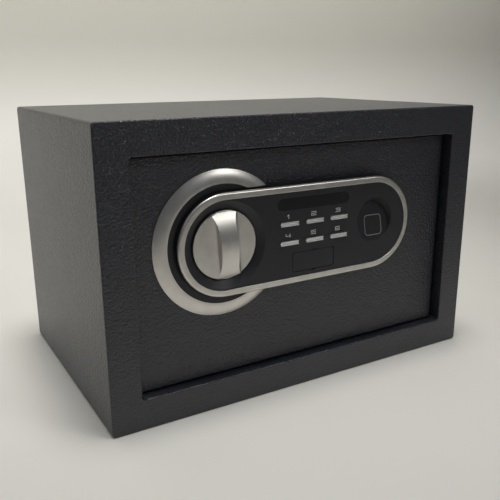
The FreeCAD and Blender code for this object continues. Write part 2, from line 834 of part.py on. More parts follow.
def bolt_work():
    guide = Piece("bolt_guide").pad("top", "mid_z - strip_half", "mid_z + strip_half", outline(
        ("-door_x + guide_in", "skin_y"), ("-door_x + guide_in + guide_foot", "skin_y"),
        ("-door_x + guide_in + guide_foot", "skin_y + guide_thick"),
        ("-door_x + guide_in + guide_thick", "skin_y + guide_thick"),
        ("-door_x + guide_in + guide_thick", "bolt_y + bolt_dia / 2 + guide_past"),
        ("-door_x + guide_in", "bolt_y + bolt_dia / 2 + guide_past")))
    guide.pocket("side", "-door_x + guide_in - cut_past", "-door_x + guide_in + guide_thick + cut_past",
                 *[disc("bolt_y", z, "bolt_dia / 2 + bolt_play") for z in BOLT_LEVELS])

    lug_right = "lug_x + lug_wide"
    plate = Piece("bolt_carriage").pad("front", "carriage_y", "carriage_back_y", outline(
        ("carriage_x", "mid_z - strip_half"), ("strip_x", "mid_z - strip_half"),
        ("strip_x", "lug_z - tongue_high"), (lug_right, "lug_z - tongue_high"), (lug_right, "lug_z"),
        ("strip_x", "lug_z"), ("strip_x", "mid_z + strip_half"), ("carriage_x", "mid_z + strip_half")))
    plate.pad("front", "carriage_back_y", "bolt_y + tab_side - tab_short",
              *[rect("carriage_x", "carriage_x + carriage_thick", f"{z} - tab_side", f"{z} + tab_side")
                for z in BOLT_LEVELS])
    plate.pad("front", "carriage_back_y", "carriage_y + lug_back",
              rect("lug_x", lug_right, "lug_z - carriage_thick", "lug_z"))
    plate.pocket("side", "carriage_x - cut_past", "carriage_x + carriage_thick + cut_past",
                 *[disc("bolt_y", z, "tail_dia / 2") for z in BOLT_LEVELS])
    slack = "(shoulder_dia / 2 + shoulder_play)"
    plate.pocket("front", "carriage_y - cut_past", "carriage_back_y + cut_past",
                 *[slot(f"{x} - slot_past", f"{x} + throw + slot_past", z, slack) for x, z in GUIDES],
                 upright("yoke_x", "knob_z + crank_reach * sin(45) - slot_past",
                         "knob_z + crank_reach + slot_past", "yoke_wide / 2"))

    bolts = Piece("locking_bolts", y="bolt_y")
    for z in BOLT_LEVELS:
        axis_up = f"({z})"
        radius = "bolt_dia / 2"
        bolts.pad("side", "bolt_tip_x", "carriage_x", disc("0", axis_up, radius))
        bolts.pad("side", "carriage_x", "carriage_x + carriage_thick", disc("0", axis_up, "tail_dia / 2"))
        bolts.pad("side", "carriage_x + carriage_thick", "carriage_x + carriage_thick + rivet_high",
                  disc("0", axis_up, "rivet_dia / 2"))
    bolts.chamfer("bolt_bevel", at("X", "bolt_tip_x"))
    bolts.fillet("rivet_round", at("X", "carriage_x + carriage_thick + rivet_high"))

    posts = Piece("guide_posts").pad("front", "skin_y", "carriage_y - rail_gap",
                                     *discs(GUIDES, "guide_post_dia / 2"))
    posts.pocket("front", "carriage_y - rail_gap - thread_deep", "carriage_y",
                 *discs(GUIDES, "thread_dia / 2 + thread_play"))
    screws = Piece("shoulder_screws")
    seat, head = "carriage_y - rail_gap", "carriage_back_y + rail_gap"
    screws.pad("front", f"{seat} - thread_deep + thread_tip", seat, *discs(GUIDES, "thread_dia / 2"))
    screws.pad("front", seat, head, *discs(GUIDES, "shoulder_dia / 2"))
    screws.pad("front", head, f"{head} + shoulder_head", *discs(GUIDES, "guide_post_dia / 2"))
    screws.pocket("front", f"{head} + shoulder_head - shoulder_slot", f"{head} + shoulder_head + cut_past",
                  *[rect(f"{x} - guide_post_dia", f"{x} + guide_post_dia", f"{z} - screw_slot / 2",
                         f"{z} + screw_slot / 2") for x, z in GUIDES])


# ---------------------------------------------------------------- knob, spindle and crank

def knob():
    radius = "knob_dia / 2"
    face, under = h("knob_face"), h("knob_low")
    turned = Piece("knob", x="knob_x", z="knob_z").lean(Vector(0, -1, 0), "knob_lean")
    turned.turn("top", "V_Axis", outline(("0", face), (radius, face), (radius, under), ("0", under)))
    turned.fillet("knob_edge", at("Y", face))
    crest, foot = h("knob_face + grip_rise"), h("knob_face + grip_end")
    turned.pad("side", "scoop_bite - scoop_rad - grip_waist", "scoop_rad + grip_waist - scoop_bite", outline(
        (face, "-grip_half"), (foot, "-grip_half"), (crest, "0", foot, "grip_half"), (face, "grip_half")))
    reach = "(grip_waist + scoop_rad)"
    for side in ("-", ""):
        turned.pocket("top", "-knob_dia / 2", "knob_dia / 2", outline(
            (f"{side}{reach}", face),
            (f"{side}(grip_waist + scoop_rad * (1 - sin(45)))", f"{face} - scoop_rad * (1 - sin(45))",
             f"{side}grip_waist", f"{face} - scoop_rad"),
            (f"{side}grip_waist", f"{face} - grip_rise - scoop_rad"),
            (f"{side}{reach}", f"{face} - grip_rise - scoop_rad")))
    turned.pocket("front", f"{crest} - cut_past", face,
                  disc("0", "0", "knob_dia"), disc("0", "0", f"{radius} - knob_edge"))
    turned.pocket("front", f"{under} - spindle_grip", f"{under} + cut_past", disc("0", "0", "spindle_dia / 2"))

    spindle_rad = "spindle_dia / 2"
    end = "clip_back_y + spindle_tail"
    neck = f"{spindle_rad} - clip_groove"
    Piece("knob_spindle", x="knob_x", z="knob_z").turn("top", "V_Axis", outline(
        ("0", f"{under} - spindle_grip"), (spindle_rad, f"{under} - spindle_grip"),
        (spindle_rad, "crank_back_y"),
        (neck, "crank_back_y"), (neck, "clip_back_y"), (spindle_rad, "clip_back_y"), (spindle_rad, end),
        ("0", end)))

    bore, flange = "spindle_dia / 2 + spindle_play", "bush_flange_dia / 2"
    Piece("spindle_bush", x="knob_x", z="knob_z").turn("top", "V_Axis", outline(
        (bore, h("bush_flange")), (flange, h("bush_flange")), (flange, "face_y"), ("bush_dia / 2", "face_y"),
        ("bush_dia / 2", "crank_y - bush_gap"), (bore, "crank_y - bush_gap")))

    crank = Piece("crank", x="knob_x", z="knob_z")
    crank.pad("front", "crank_y", "crank_back_y", disc("0", "0", "crank_dia / 2"), disc("0", "0", spindle_rad))
    crank.pad("front", "crank_back_y", "crank_back_y + crank_pin_long",
              disc("crank_reach * sin(45)", "crank_reach * sin(45)", "crank_pin_dia / 2"))

    clip = Piece("spindle_clip", x="knob_x", z="knob_z")
    clip.pad("front", "crank_back_y", "clip_back_y", disc("0", "0", "clip_dia / 2"), disc("0", "0", neck))
    clip.pocket("front", "crank_back_y - cut_past", "clip_back_y + cut_past",
                rect("-clip_mouth / 2", "clip_mouth / 2", "-clip_dia", "0"))


# ---------------------------------------------------------------- trim and control panel

def stadium(radius):
    return slot("knob_x", "far_x", "knob_z", radius)


def trim():
    base = Piece("ring_base")
    base.pad("front", h("ring_base_high"), "face_y", disc("knob_x", "knob_z", "ring_inner_dia / 2"))
    base.pocket("front", h("ring_base_high + cut_past"), "skin_y", stadium("panel_rad + panel_foot"))

    inner, outer = "ring_inner_dia / 2", "ring_dia / 2"
    ring = Piece("ring_trim", x="knob_x", z="knob_z").turn("top", "V_Axis", outline(
        (inner, "face_y"), (inner, h("ring_high")), (f"{inner} + ring_flat", h("ring_high")),
        (f"({outer} + {inner} + ring_flat) / 2", h("(ring_high + ring_edge) / 2 + ring_swell"),
         outer, h("ring_edge")),
        (outer, "face_y")))
    ring.pocket("front", h("ring_high + cut_past"), "skin_y",
                slot("0", "panel_long", "0", "panel_rad + panel_foot"))

    bezel = Piece("bezel_trim").pad("front", h("bezel_high"), h("bezel_low"), stadium("panel_rad"),
                                    stadium("panel_rad - bezel_wide"))
    top = at("Y", h("bezel_high"))
    for size, reach in (("bezel_round", "panel_rad"), ("bezel_inner_round", "panel_rad - bezel_wide")):
        bezel.fillet(size, lambda edge: top(edge) and abs(edge_reach(edge) - value(reach)) < TINY)


def edge_reach(edge):
    """How far an edge of the oval outline lies from the line between its two end centres."""
    point = edge.valueAt((edge.FirstParameter + edge.LastParameter) / 2)
    nearest = min(max(point.x, value("knob_x")), value("far_x"))
    return math.hypot(point.x - nearest, point.z - value("knob_z"))


def keys():
    """Column and row centres of the six keys, in order."""
    return [(f"knob_x + key_first + {column} * key_pitch", f"knob_z + key_row - {row} * key_row_pitch")
            for row in range(2) for column in range(3)]


def centred(x, z, wide, tall):
    return rect(f"{x} - ({wide}) / 2", f"{x} + ({wide}) / 2", f"{z} - ({tall}) / 2", f"{z} + ({tall}) / 2")


def cap_outline(grow, round_by):
    x_half, z_half = f"(cap_wide / 2 + {grow})", f"(cap_tall / 2 + {grow})"
    return rounded(f"lock_x - {x_half}", f"lock_x + {x_half}",
                   f"lock_z - {z_half}", f"lock_z + {z_half}", round_by)


def panel():
    front, behind = h("panel_high"), h("wall_h")
    housing = Piece("panel_housing").pad("front", h("bezel_low"), "face_y", stadium("body_rad"))
    housing.pad("front", h("panel_foot_high"), "face_y", stadium("panel_rad + panel_foot"))
    housing.pad("front", front, h("bezel_low"), stadium("panel_rad - bezel_wide"))
    housing.pocket("front", behind, "face_y + cut_past", stadium("hollow_rad"))
    housing.pad("front", behind, "face_y", disc("knob_x", "knob_z", "dish_rad + dish_wall"))
    housing.pad("front", behind, "face_y", disc("finger_x", "finger_z", "finger_rad + finger_boss"))
    housing.pad("front", behind, "face_y", cap_outline("cap_border", "cap_round"))
    housing.pad("front", behind, "face_y", *discs(BOSSES, "boss_dia / 2"))
    housing.pocket("front", h("dish_floor"), "face_y + cut_past",
                   disc("knob_x", "knob_z", "bush_flange_dia / 2 + flange_play"))
    housing.pocket("front", h("boss_bite"), "face_y + cut_past",
                   *discs(BOSSES, "screw_dia / 2 + thread_play"))
    housing.pocket("front", h("panel_high + cut_past"), h("dish_floor"),
                   disc("knob_x", "knob_z", "knob_dia / 2 + dish_gap"))
    cone = housing.body.newObject("PartDesign::SubtractiveCone", "dish")
    attach_round(housing, cone, "knob_x", h("dish_step"), "knob_z", 0)
    bind(cone, "Radius1", "knob_dia / 2 + dish_gap")
    bind(cone, "Radius2", "dish_rad + (dish_rad - knob_dia / 2 - dish_gap) / (panel_high - dish_step)")
    bind(cone, "Height", "panel_high - dish_step + cut_past")
    housing.settle(cone, housing.volume(), False)
    housing.pocket("front", h("panel_high + cut_past"), h("panel_high - cap_thick - cap_seat"),
                   cap_outline("cap_play", "cap_round"))
    housing.pocket("front", h("panel_high"), "face_y + cut_past",
                   disc("lock_x", "lock_z", "lock_head_dia / 2 + lock_head_play"))
    housing.pocket("front", h("panel_high + cut_past"), h("wall_h - cut_past"),
                   slot("window_x - window_long / 2 + window_tall / 2",
                        "window_x + window_long / 2 - window_tall / 2", "window_z", "window_tall / 2"),
                   *[centred(x, z, "key_wide + 2 * key_play", "key_tall + 2 * key_play") for x, z in keys()])
    bowl = housing.body.newObject("PartDesign::SubtractiveCone", "bowl")
    floor_in = "(finger_start * tan(finger_tilt))"
    attach_round(housing, bowl, "finger_x", h(f"panel_high - {floor_in}"), "finger_z", "-finger_tilt")
    bind(bowl, "Radius1", "finger_floor_rad")
    bind(bowl, "Radius2", "finger_rad + (finger_rad - finger_floor_rad) * finger_flare")
    bind(bowl, "Height", "panel_high")
    housing.settle(bowl, housing.volume(), False)

    Piece("display_window").pad("front", h("panel_high - window_sunk"), behind, slot(
        "window_x - window_long / 2 + window_tall / 2", "window_x + window_long / 2 - window_tall / 2",
        "window_z", "window_tall / 2"))
    Piece("display_module").pad("front", behind, h("board_up + board_thick"), centred(
        "window_x", "window_z", "window_long - 4 * module_side", "window_tall + 2 * module_side"))
    right, top = "knob_x + board_left + board_wide", "knob_z - board_drop + board_tall"
    Piece("keypad_board").pad("front", h("board_up + board_thick"), h("board_up"), rect(
        "knob_x + board_left", right, "knob_z - board_drop", top))
    switches = Piece("tact_switches")
    low = "board_up + board_thick"
    switches.pad("front", h(f"{low} + switch_high"), h(low),
                 *[centred(x, z, "switch_wide", "switch_tall") for x, z in keys()])
    switches.pad("front", h(f"{low} + switch_high + switch_tip"), h(f"{low} + switch_high"),
                 *[disc(x, z, "switch_tip_dia / 2") for x, z in keys()])

    for number, (x, z) in enumerate(keys(), start=1):
        key = Piece(f"key_{number}", x=x, z=z)
        under = h("wall_h - key_drop")
        key.pad("front", h("panel_high + key_proud"), under, centred("0", "0", "key_wide", "key_tall"))
        key.fillet("key_round", lambda edge: edge.BoundBox.YLength > value("key_proud"))
        key.pad("front", under, h("wall_h - key_drop - key_flange_high"),
                centred("0", "0", "key_wide + 2 * key_flange", "key_tall + 2 * key_flange"))
        top = "panel_high + key_proud"
        key.pocket("front", h(f"{top} + cut_past"), h(f"{top} - key_groove_deep"),
                   rect("-key_wide", "key_wide", "-key_groove / 2", "key_groove / 2"))

    cap = Piece("key_cover").pad("front", front, h("panel_high - cap_thick"), cap_outline("0", "cap_round"))
    cap.fillet("cap_edge", at("Y", front))

    screws = Piece("panel_screws")
    screws.pad("front", h("boss_bite - screw_tip"), "skin_y", *discs(BOSSES, "screw_dia / 2"))
    screws.pad("front", "skin_y", "skin_y + screw_head_high", *discs(BOSSES, "screw_head_dia / 2"))


def attach_round(piece, cone, x, y, z, tilt):
    """Stand a cone on its small end, its axis forward, tilted about X by an angle."""
    base = next(item for item in piece.body.Origin.OriginFeatures if item.Role == "XZ_Plane")
    cone.AttachmentSupport = [(base, "")]
    cone.MapMode = "FlatFace"
    if tilt:
        cone.AttachmentOffset = Placement(Vector(), Rotation(Vector(1, 0, 0), value(tilt)))
        bind(cone, "AttachmentOffset.Rotation.Angle", tilt)
    bind(cone, "AttachmentOffset.Base.x", x)
    bind(cone, "AttachmentOffset.Base.y", z)
    bind(cone, "AttachmentOffset.Base.z", f"-({y})")


def fingerprint():
    """The reader's pad and its bright frame lie on the bowl's sloping floor."""
    floor_in = "(finger_start * tan(finger_tilt))"
    drop = "sensor_drop"
    y = h(f"panel_high - {floor_in}") + f" - {drop} * sin(finger_tilt)"
    z = f"finger_z - {drop} * cos(finger_tilt)"
    half_x, half_z = "sensor_wide / 2", "sensor_tall / 2"
    for label, grow, high, hole in (("fingerprint_frame", "0", "sensor_high", True),
                                    ("fingerprint_sensor", "-sensor_line", "sensor_high - sensor_sunk", False)):
        made = Piece(label, x="finger_x", y=y, z=z).lean(Vector(-1, 0, 0), "finger_tilt")
        edge = [rounded(f"-{half_x} - ({grow})", f"{half_x} + ({grow})", f"-{half_z} - ({grow})",
                        f"{half_z} + ({grow})", f"sensor_round + ({grow})")]
        if hole:
            edge.append(rounded(f"-{half_x} + sensor_line", f"{half_x} - sensor_line",
                                f"-{half_z} + sensor_line", f"{half_z} - sensor_line",
                                "sensor_round - sensor_line"))
        made.pad("front", f"-({high})", "0", *edge)


# ---------------------------------------------------------------- emergency lock

def emergency_lock():
    head, bore = h("lock_head_high"), "plug_dia / 2 + plug_play"
    rear = "face_y + lock_long"
    Piece("lock_barrel", x="lock_x", z="lock_z").turn("top", "V_Axis", outline(
        (bore, head), ("lock_head_dia / 2", head), ("lock_head_dia / 2", "face_y"), ("lock_dia / 2", "face_y"),
        ("lock_dia / 2", rear), (bore, rear)))

    half = "lock_nut_across / 2"
    corner = f"{half} / cos(30)"
    Piece("lock_nut", x="lock_x", z="lock_z").pad("front", "skin_y", "skin_y + lock_nut_high", outline(
        (corner, "0"), (f"{corner} / 2", half), (f"-{corner} / 2", half), (f"-{corner}", "0"),
        (f"-{corner} / 2", f"-{half}"), (f"{corner} / 2", f"-{half}")), disc("0", "0", "lock_dia / 2"))

    cam_y = "carriage_y + lug_back + cam_gap"
    cam_back = f"{cam_y} + cam_thick"
    plug = Piece("lock_plug", x="lock_x", z="lock_z").turn("top", "V_Axis", outline(
        ("0", f"{head} + plug_sunk"), ("plug_dia / 2", f"{head} + plug_sunk"), ("plug_dia / 2", cam_y),
        ("plug_neck / 2", cam_y), ("plug_neck / 2", cam_back), ("plug_dia / 2", cam_back),
        ("plug_dia / 2", f"{cam_back} + stake_high"), ("0", f"{cam_back} + stake_high")))
    plug.pocket("front", f"{head} - cut_past", f"{head} + keyway_deep",
                rect("-keyway_wide / 2", "keyway_wide / 2", "-keyway_tall / 2", "keyway_tall / 2"))

    cam = Piece("lock_cam", x="lock_x", z="lock_z").lean(Vector(0, -1, 0), "cam_rest")
    cam.pad("front", cam_y, cam_back, outline(
        ("0", "-cam_hub"), ("cam_hub", "0", "0", "cam_hub"),
        ("-cam_reach", "cam_end"), ("-cam_reach - cam_end", "0", "-cam_reach", "-cam_end")),
        disc("0", "0", "plug_neck / 2"))


# ---------------------------------------------------------------- solenoid latch

def solenoid():
    radius = "plunger_dia / 2"
    top = "tip_z + plunger_long"
    plunger = Piece("solenoid_plunger", x="plunger_x", y="bolt_y").turn("front", "V_Axis", outline(
        ("0", "tip_z"), (radius, "tip_z"), (radius, "collar_z"), ("plunger_collar_dia / 2", "collar_z"),
        ("plunger_collar_dia / 2", "collar_top_z"), (radius, "collar_top_z"), (radius, top), ("0", top)))
    plunger.pocket("front", "-plunger_dia", "plunger_dia", outline(
        (f"{radius} - plunger_bevel", "tip_z - cut_past"), (f"{radius} - plunger_bevel", "tip_z"),
        (radius, "tip_z + plunger_bevel"), (f"{radius} + cut_past", "tip_z + plunger_bevel"),
        (f"{radius} + cut_past", "tip_z - cut_past")))

    spring = Piece("plunger_spring", x="plunger_x", y="bolt_y", z="collar_top_z")
    wire = disc("plunger_dia / 2 + spring_wire", "spring_wire / 2", "spring_wire / 2")
    profile = spring.sketch("front", "0", [wire])
    coil = spring.body.newObject("PartDesign::AdditiveHelix", "coil")
    coil.Profile = profile
    coil.ReferenceAxis = (profile, ["V_Axis"])
    coil.Mode = 1
    bind(coil, "Pitch", "(spring_room - spring_wire) / spring_turns")
    bind(coil, "Turns", "spring_turns")
    spring.settle(coil, 0.0, True)

    side = "solenoid_wide / 2"
    low, high = "coil_z", "coil_z + 2 * solenoid_steel + coil_high"
    frame = Piece("solenoid_frame").pad("side", f"plunger_x - {side}", f"plunger_x + {side}", outline(
        ("skin_y", low), (f"bolt_y + {side}", low), (f"bolt_y + {side}", f"{low} + solenoid_steel"),
        ("skin_y + solenoid_steel", f"{low} + solenoid_steel"),
        ("skin_y + solenoid_steel", f"{high} - solenoid_steel"),
        (f"bolt_y + {side}", f"{high} - solenoid_steel"),
        (f"bolt_y + {side}", high), ("skin_y", high)))
    frame.pocket("top", "coil_z - cut_past", "coil_z + 2 * solenoid_steel",
                 disc("plunger_x", "bolt_y", "plunger_dia / 2 + plunger_play"))
    Piece("solenoid_coil").pad("top", "coil_z + solenoid_steel", "coil_z + solenoid_steel + coil_high",
                               disc("plunger_x", "bolt_y", "coil_dia / 2"),
                               disc("plunger_x", "bolt_y", "plunger_dia / 2 + coil_play"))


# ---------------------------------------------------------------- boards, batteries and leads

def electronics():
    left, low = "knob_x + main_left", "knob_z - main_drop"
    board = Piece("main_board").pad("front", "main_y", "main_back_y",
                                    rect(left, f"{left} + main_wide", low, f"{low} + main_tall"))
    board.pocket("front", "main_y - cut_past", "main_back_y + cut_past",
                 *discs(MAIN_POSTS, "screw_dia / 2 + screw_hole_play"))

    parts = Piece("board_parts")
    for name in ("chip", "driver", "header", "plug"):
        parts.pad("front", "main_back_y", f"main_back_y + {name}_high",
                  centred(f"{left} + {name}_in", f"{low} + {name}_up", f"{name}_wide", f"{name}_tall"))
    for name in ("can", "small_can"):
        parts.pad("front", "main_back_y", f"main_back_y + {name}_high",
                  disc(f"{left} + can_in", f"{low} + {name}_up", f"{name}_dia / 2"))

    side = "reset_switch_side"
    switch_top = "main_back_y + reset_switch_high"
    Piece("reset_switch").pad("front", "main_back_y", switch_top, centred("reset_x", "reset_z", side, side))
    foot = f"{switch_top} + reset_travel + reset_gap"
    collar, tip = "cover_in_y - reset_gap", "cover_y + reset_proud"
    button = Piece("reset_button", x="reset_x", z="reset_z").turn("top", "V_Axis", outline(
        ("0", foot), ("reset_stem_dia / 2", foot), ("reset_stem_dia / 2", f"{collar} - reset_collar"),
        ("reset_collar_dia / 2", f"{collar} - reset_collar"), ("reset_collar_dia / 2", collar),
        ("reset_dia / 2", collar), ("reset_dia / 2", tip), ("0", tip)))
    button.fillet("reset_round", at("Y", tip))

    out_x, out_z = "(battery_half_x + battery_wall)", "(battery_half_z + battery_wall)"
    box = Piece("battery_box").pad("front", "battery_y - battery_wall", "cover_in_y",
                                   rect(f"battery_x - {out_x}", f"battery_x + {out_x}",
                                        f"battery_z - {out_z}", f"battery_z + {out_z}"))
    box.pocket("front", "battery_y", "cover_in_y + cut_past",
               rect("battery_x - battery_half_x", "battery_x + battery_half_x",
                    "battery_z - battery_half_z", "battery_z + battery_half_z"))

    cells, contacts = Piece("battery_cells", y="cell_y"), Piece("battery_contacts", y="cell_y")
    half = "cell_long / 2"
    for number in range(4):
        z = f"battery_z + ({number} - 1.5) * cell_pitch"
        flip = "" if number % 2 else "-"
        middle = f"battery_x - {flip}cell_nub / 2"
        cells.pad("side", f"{middle} - {half}", f"{middle} + {half}", disc("0", z, "cell_dia / 2"))
        ends = (f"{middle} + {half}", f"{middle} + {half} + cell_nub")
        if flip:
            ends = (f"{middle} - {half} - cell_nub", f"{middle} - {half}")
        cells.pad("side", *ends, disc("0", z, "cell_nub_dia / 2"))
        for sign in (-1, 1):
            wall, plate, tip = (f"battery_x + ({sign}) * ({reach})" for reach in (
                "battery_half_x", "battery_half_x - contact_thick", "battery_half_x - cell_end"))
            contacts.pad("side", *sorted((wall, plate), key=value),
                         centred("0", z, "contact_side", "contact_side"))
            contacts.pad("side", *sorted((plate, tip), key=value), disc("0", z, "contact_side / 3"))

    lap_x, lap_z = "(battery_half_x + battery_lap)", "(battery_half_z + battery_lap)"
    lid_y = "cover_y + battery_lid_thick"
    lid = Piece("battery_cover").pad("front", "cover_y + battery_lid_gap", lid_y, rounded(
        f"battery_x - {lap_x}", f"battery_x + {lap_x}", f"battery_z - {lap_z}", f"battery_z + {lap_z}",
        "battery_lid_round"))
    lid.fillet("battery_lid_edge", at("Y", lid_y))
    play_x, play_z = "(battery_half_x - battery_play)", "(battery_half_z - battery_play)"
    lid.pad("front", "cover_in_y", "cover_y + battery_lid_gap",
            rect(f"battery_x - {play_x}", f"battery_x + {play_x}",
                 f"battery_z - {play_z}", f"battery_z + {play_z}"))
    lid.pocket("front", f"{lid_y} - grip_line_deep", f"{lid_y} + cut_past",
               *[slot("battery_x - grip_line_half", "battery_x + grip_line_half",
                      f"battery_z + battery_half_z - grip_line_in - {line} * grip_line_pitch",
                      "grip_line_wide / 2")
                 for line in range(4)])

    board_back = h("board_up")
    Piece("keypad_cable").pad("front", board_back, "main_y",
                              centred("cable_x", "cable_z", "cable_thick", "cable_wide"))
    leads()


def bent_tube(stops):
    """A round lead along straight runs joined by tangent arcs of one radius."""
    radius, bend = value("lead_dia / 2"), value("lead_bend")
    points = [Vector(*[value(text) for text in stop]) for stop in stops]
    edges, start = [], points[0]
    for before, corner, after in zip(points, points[1:], points[2:]):
        back, on = (before - corner).normalize(), (after - corner).normalize()
        half = back.getAngle(on) / 2
        reach = bend / math.tan(half)
        middle = corner + (back + on).normalize() * (bend / math.sin(half) - bend)
        edges.append(Part.LineSegment(start, corner + back * reach).toShape())
        edges.append(Part.Arc(corner + back * reach, middle, corner + on * reach).toShape())
        start = corner + on * reach
    edges.append(Part.LineSegment(start, points[-1]).toShape())
    spine = Part.Wire(edges)
    ring = Part.Wire([Part.makeCircle(radius, points[0], (points[1] - points[0]).normalize())])
    tube = spine.makePipeShell([ring], True, False)
    wanted = math.pi * radius ** 2 * spine.Length
    if abs(tube.Volume - wanted) > 0.01 * wanted:
        raise RuntimeError("a lead's volume is not its section times its length")
    return tube


def leads():
    """Two leads from the solenoid's coil and two from the batteries, each to the board's front face."""
    run_y = "main_y - lead_run"
    box_top = "battery_z + battery_half_z + battery_wall"
    tubes = []
    for number in range(2):
        aside = f"{number} * lead_gap"
        turn_x, end_x = f"knob_x + main_left - lead_turn - {aside}", f"knob_x + main_left + lead_in + {aside}"
        level = f"coil_z + solenoid_steel + coil_high - lead_down - {aside}"
        tubes.append(bent_tube([("plunger_x + coil_dia / 2", "bolt_y", level), (turn_x, "bolt_y", level),
                                (turn_x, run_y, level), (end_x, run_y, level), (end_x, "main_y", level)]))
        x, y = f"knob_x + main_left + cell_lead_in + {aside}", "battery_y + cell_lead_back"
        rise, end_z = f"{box_top} + cell_lead_rise", "knob_z - main_drop + cell_lead_up"
        tubes.append(bent_tube([(x, y, box_top), (x, y, rise), (x, run_y, rise), (x, run_y, end_z),
                                (x, "main_y", end_z)]))
    item = doc.addObject("Part::Feature", "wire_leads")
    item.Shape = Part.makeCompound(tubes)
    item.Label = "wire_leads"
    PIECES["wire_leads"] = item


cabinet()
door()
mechanism_cover()
bolt_work()
knob()
trim()
panel()
fingerprint()
emergency_lock()
solenoid()
electronics()

doc.recompute()
for thing in doc.Objects:
    check(thing)
os.makedirs("parts", exist_ok=True)
for label, thing in PIECES.items():
    shape = thing.Shape
    if shape.isNull() or not shape.isValid() or not shape.Solids:
        raise RuntimeError(f"{label} has no valid solid")
    shape.exportStep(f"parts/{label}.step")
print(len(PIECES), "pieces")
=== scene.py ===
"""A small steel safe with an oval control panel: the finishes, printed digits, studio and camera.

Everything is in metres, in the model's own frame: +Z up, the door faces -Y.
"""

import json
import math

import bmesh
import bpy
from mathutils import Matrix, Vector


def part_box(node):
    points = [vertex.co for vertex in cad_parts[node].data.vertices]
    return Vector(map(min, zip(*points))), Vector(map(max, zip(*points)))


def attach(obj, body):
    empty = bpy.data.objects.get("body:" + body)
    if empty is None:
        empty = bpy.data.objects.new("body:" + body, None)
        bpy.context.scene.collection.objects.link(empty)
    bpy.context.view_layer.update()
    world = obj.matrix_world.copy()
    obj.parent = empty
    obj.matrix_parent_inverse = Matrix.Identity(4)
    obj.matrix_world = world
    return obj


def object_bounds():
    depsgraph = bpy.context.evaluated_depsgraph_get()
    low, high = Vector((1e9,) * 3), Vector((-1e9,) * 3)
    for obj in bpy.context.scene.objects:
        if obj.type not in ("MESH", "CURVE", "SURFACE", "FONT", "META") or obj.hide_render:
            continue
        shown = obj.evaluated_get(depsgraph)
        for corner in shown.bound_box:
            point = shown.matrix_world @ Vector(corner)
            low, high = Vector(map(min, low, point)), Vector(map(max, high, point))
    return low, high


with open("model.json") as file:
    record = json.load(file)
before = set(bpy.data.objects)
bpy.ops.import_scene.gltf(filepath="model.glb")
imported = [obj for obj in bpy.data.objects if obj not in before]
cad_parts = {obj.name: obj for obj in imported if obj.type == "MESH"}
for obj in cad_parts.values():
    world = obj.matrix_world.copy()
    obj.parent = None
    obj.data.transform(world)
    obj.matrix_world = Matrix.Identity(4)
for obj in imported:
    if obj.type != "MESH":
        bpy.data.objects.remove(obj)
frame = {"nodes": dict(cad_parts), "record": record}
CAD_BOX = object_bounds()

MM = 0.001


# ---------------------------------------------------------------- shader arithmetic

class Wire:
    """An output socket that takes part in ordinary sums."""

    def __init__(self, tree, socket):
        self.tree = tree
        self.socket = socket

    def maths(self, operation, *others, swap=False):
        terms = [self, *others]
        if swap:
            terms.reverse()
        return new_node(self.tree, "ShaderNodeMath", {"operation": operation}, dict(enumerate(terms)))

    def __add__(self, other):
        return self.maths("ADD", other)

    def __radd__(self, other):
        return self.maths("ADD", other)

    def __sub__(self, other):
        return self.maths("SUBTRACT", other)

    def __rsub__(self, other):
        return self.maths("SUBTRACT", other, swap=True)

    def __mul__(self, other):
        return self.maths("MULTIPLY", other)

    def __rmul__(self, other):
        return self.maths("MULTIPLY", other)

    def __lt__(self, other):
        return self.maths("LESS_THAN", other)

    def most(self, other):
        return self.maths("MAXIMUM", other)

    def sine(self):
        return self.maths("SINE")

    def step(self, low, high):
        """0 below low, 1 above high, smooth between."""
        return new_node(self.tree, "ShaderNodeMapRange", {"interpolation_type": "SMOOTHSTEP"},
                        {"Value": self, "From Min": low, "From Max": high}, "Result")


def feed(tree, socket, term):
    """Sets a socket to a number or colour, or links it to a wire."""
    if isinstance(term, Wire):
        tree.links.new(term.socket, socket)
    else:
        socket.default_value = term


def new_node(tree, kind, settings, sockets, out=0):
    """A node of any type: its settings first, then the values or links of its sockets."""
    node = tree.nodes.new(kind)
    for name, setting in settings.items():
        setattr(node, name, setting)
    for name, term in sockets.items():
        feed(tree, node.inputs[name], term)
    return Wire(tree, node.outputs[out])


def colour(red, green, blue):
    return (red, green, blue, 1.0)


